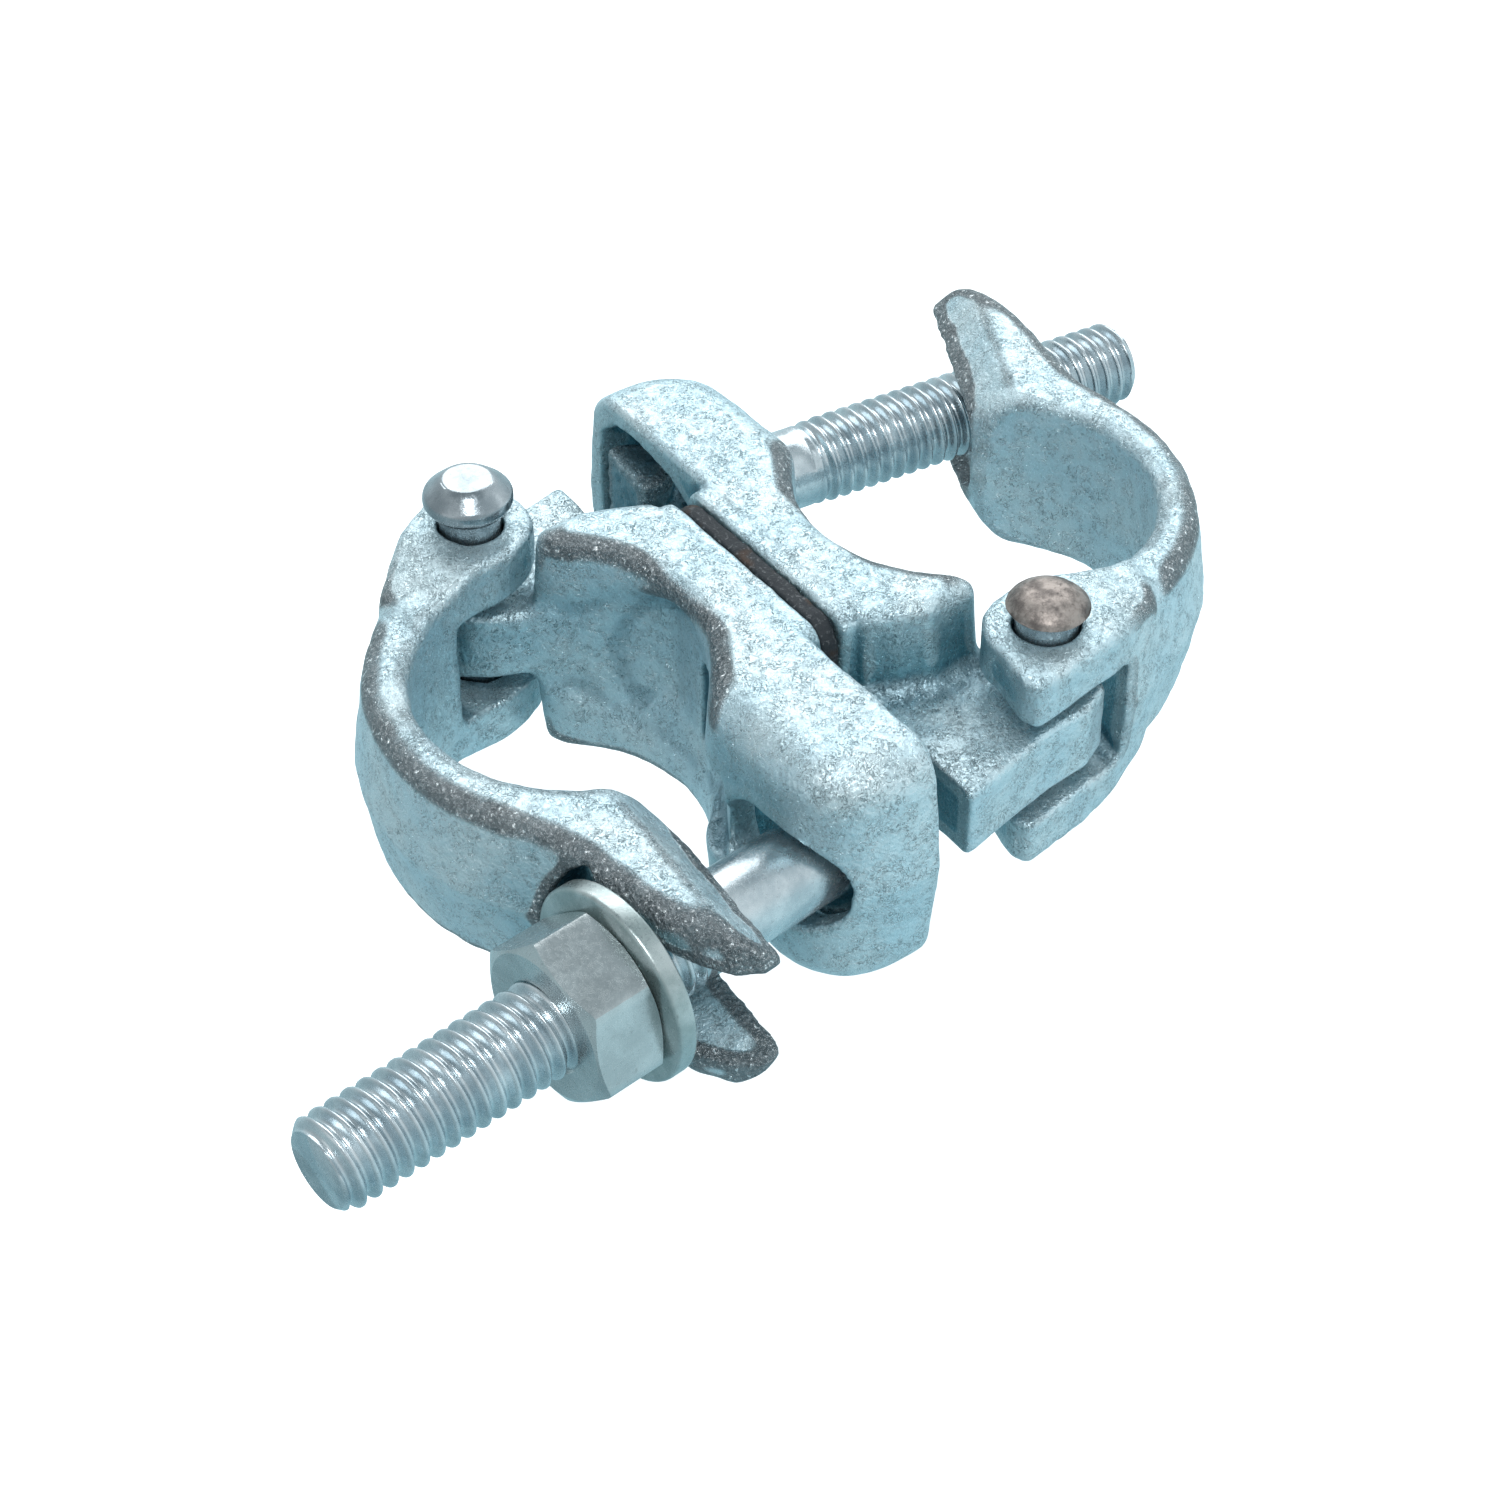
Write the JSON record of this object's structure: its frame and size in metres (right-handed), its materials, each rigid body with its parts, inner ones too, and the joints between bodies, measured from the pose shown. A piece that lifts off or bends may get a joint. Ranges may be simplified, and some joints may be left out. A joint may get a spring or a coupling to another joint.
{
  "type": "swivel scaffold coupler",
  "caption": "forged swivel coupler that clamps two scaffold tubes at any angle, with hinged caps and swing bolts, one side closed and one side open",
  "frame": {"origin": "centre of tube seat B, on the tube axis and half way along the seat", "axes": "+Z along the tube in seat B at rest; +X along the swivel pin from half A to half B; +Y along the bodies"},
  "size_m": [0.2005, 0.113, 0.0488],
  "materials": {
    "zinc_forging": "bright zinc plate over a rough forged skin",
    "zinc_turned": "smooth bright zinc plate",
    "bare_steel": "worn bare steel, slightly brown",
    "dark_steel": "dark unplated steel",
    "zinc_thread": "bright zinc plated rolled thread"
  },
  "bodies": {
    "saddle_b": {"body_b": "zinc_forging", "swivel_rivet": "zinc_turned", "friction_plate": "dark_steel"},
    "saddle_a": {"body_a": "zinc_forging"},
    "flap_a": {"cap_a": "zinc_forging", "hinge_rivet_a": "zinc_turned"},
    "flap_b": {"cap_b": "zinc_forging", "hinge_rivet_b": "bare_steel"},
    "swing_bolt_a": {"t_bolt_a": "zinc_thread"},
    "swing_bolt_b": {"t_bolt_b": "zinc_thread"},
    "washer_on_a": {"washer_a": "zinc_turned"},
    "nut_on_a": {"nut_a": "zinc_turned"}
  },
  "joints": [
    {"name": "swivel", "type": "hinge", "parent": "saddle_b", "child": "saddle_a", "pos_m": [-0.03726, 0, 0], "axis": [1, 0, 0], "continuous": true},
    {"name": "cap_a_fold", "type": "hinge", "parent": "saddle_a", "child": "flap_a", "pos_m": [-0.065, 0.03417, 0], "axis": [0, 0, 1], "range_deg": [-22.2, 0]},
    {"name": "bolt_a_swing", "type": "hinge", "parent": "saddle_a", "child": "swing_bolt_a", "pos_m": [-0.0482, -0.03873, 0], "axis": [0, 0, 1], "range_deg": [-13, 0]},
    {"name": "washer_a_slide", "type": "slide", "parent": "swing_bolt_a", "child": "washer_on_a", "axis": [-0.9936, -0.1134, 0], "range_m": [0, 0.0285]},
    {"name": "nut_a_turn", "type": "hinge", "parent": "washer_on_a", "child": "nut_on_a", "pos_m": [-0.09788, -0.0444, 0], "axis": [-0.9936, -0.1134, 0], "range_deg": [0, 4060]},
    {"name": "cap_b_fold", "type": "hinge", "parent": "saddle_b", "child": "flap_b", "pos_m": [-0.00952, -0.03417, 0], "axis": [0, 0, 1], "range_deg": [-70, 12.3]},
    {"name": "bolt_b_swing", "type": "hinge", "parent": "saddle_b", "child": "swing_bolt_b", "pos_m": [-0.03228, 0.03941, 0], "axis": [0, 0, 1], "range_deg": [0, 10]}
  ],
  "couplings": [
    {"joint": "washer_a_slide", "follows": "nut_a_turn", "m_per_rad": 0.00039789},
    {"joint": "cap_a_fold", "follows": "nut_a_turn", "ratio": -0.0053769},
    {"joint": "bolt_a_swing", "follows": "nut_a_turn", "ratio": -0.0031186}
  ]
}
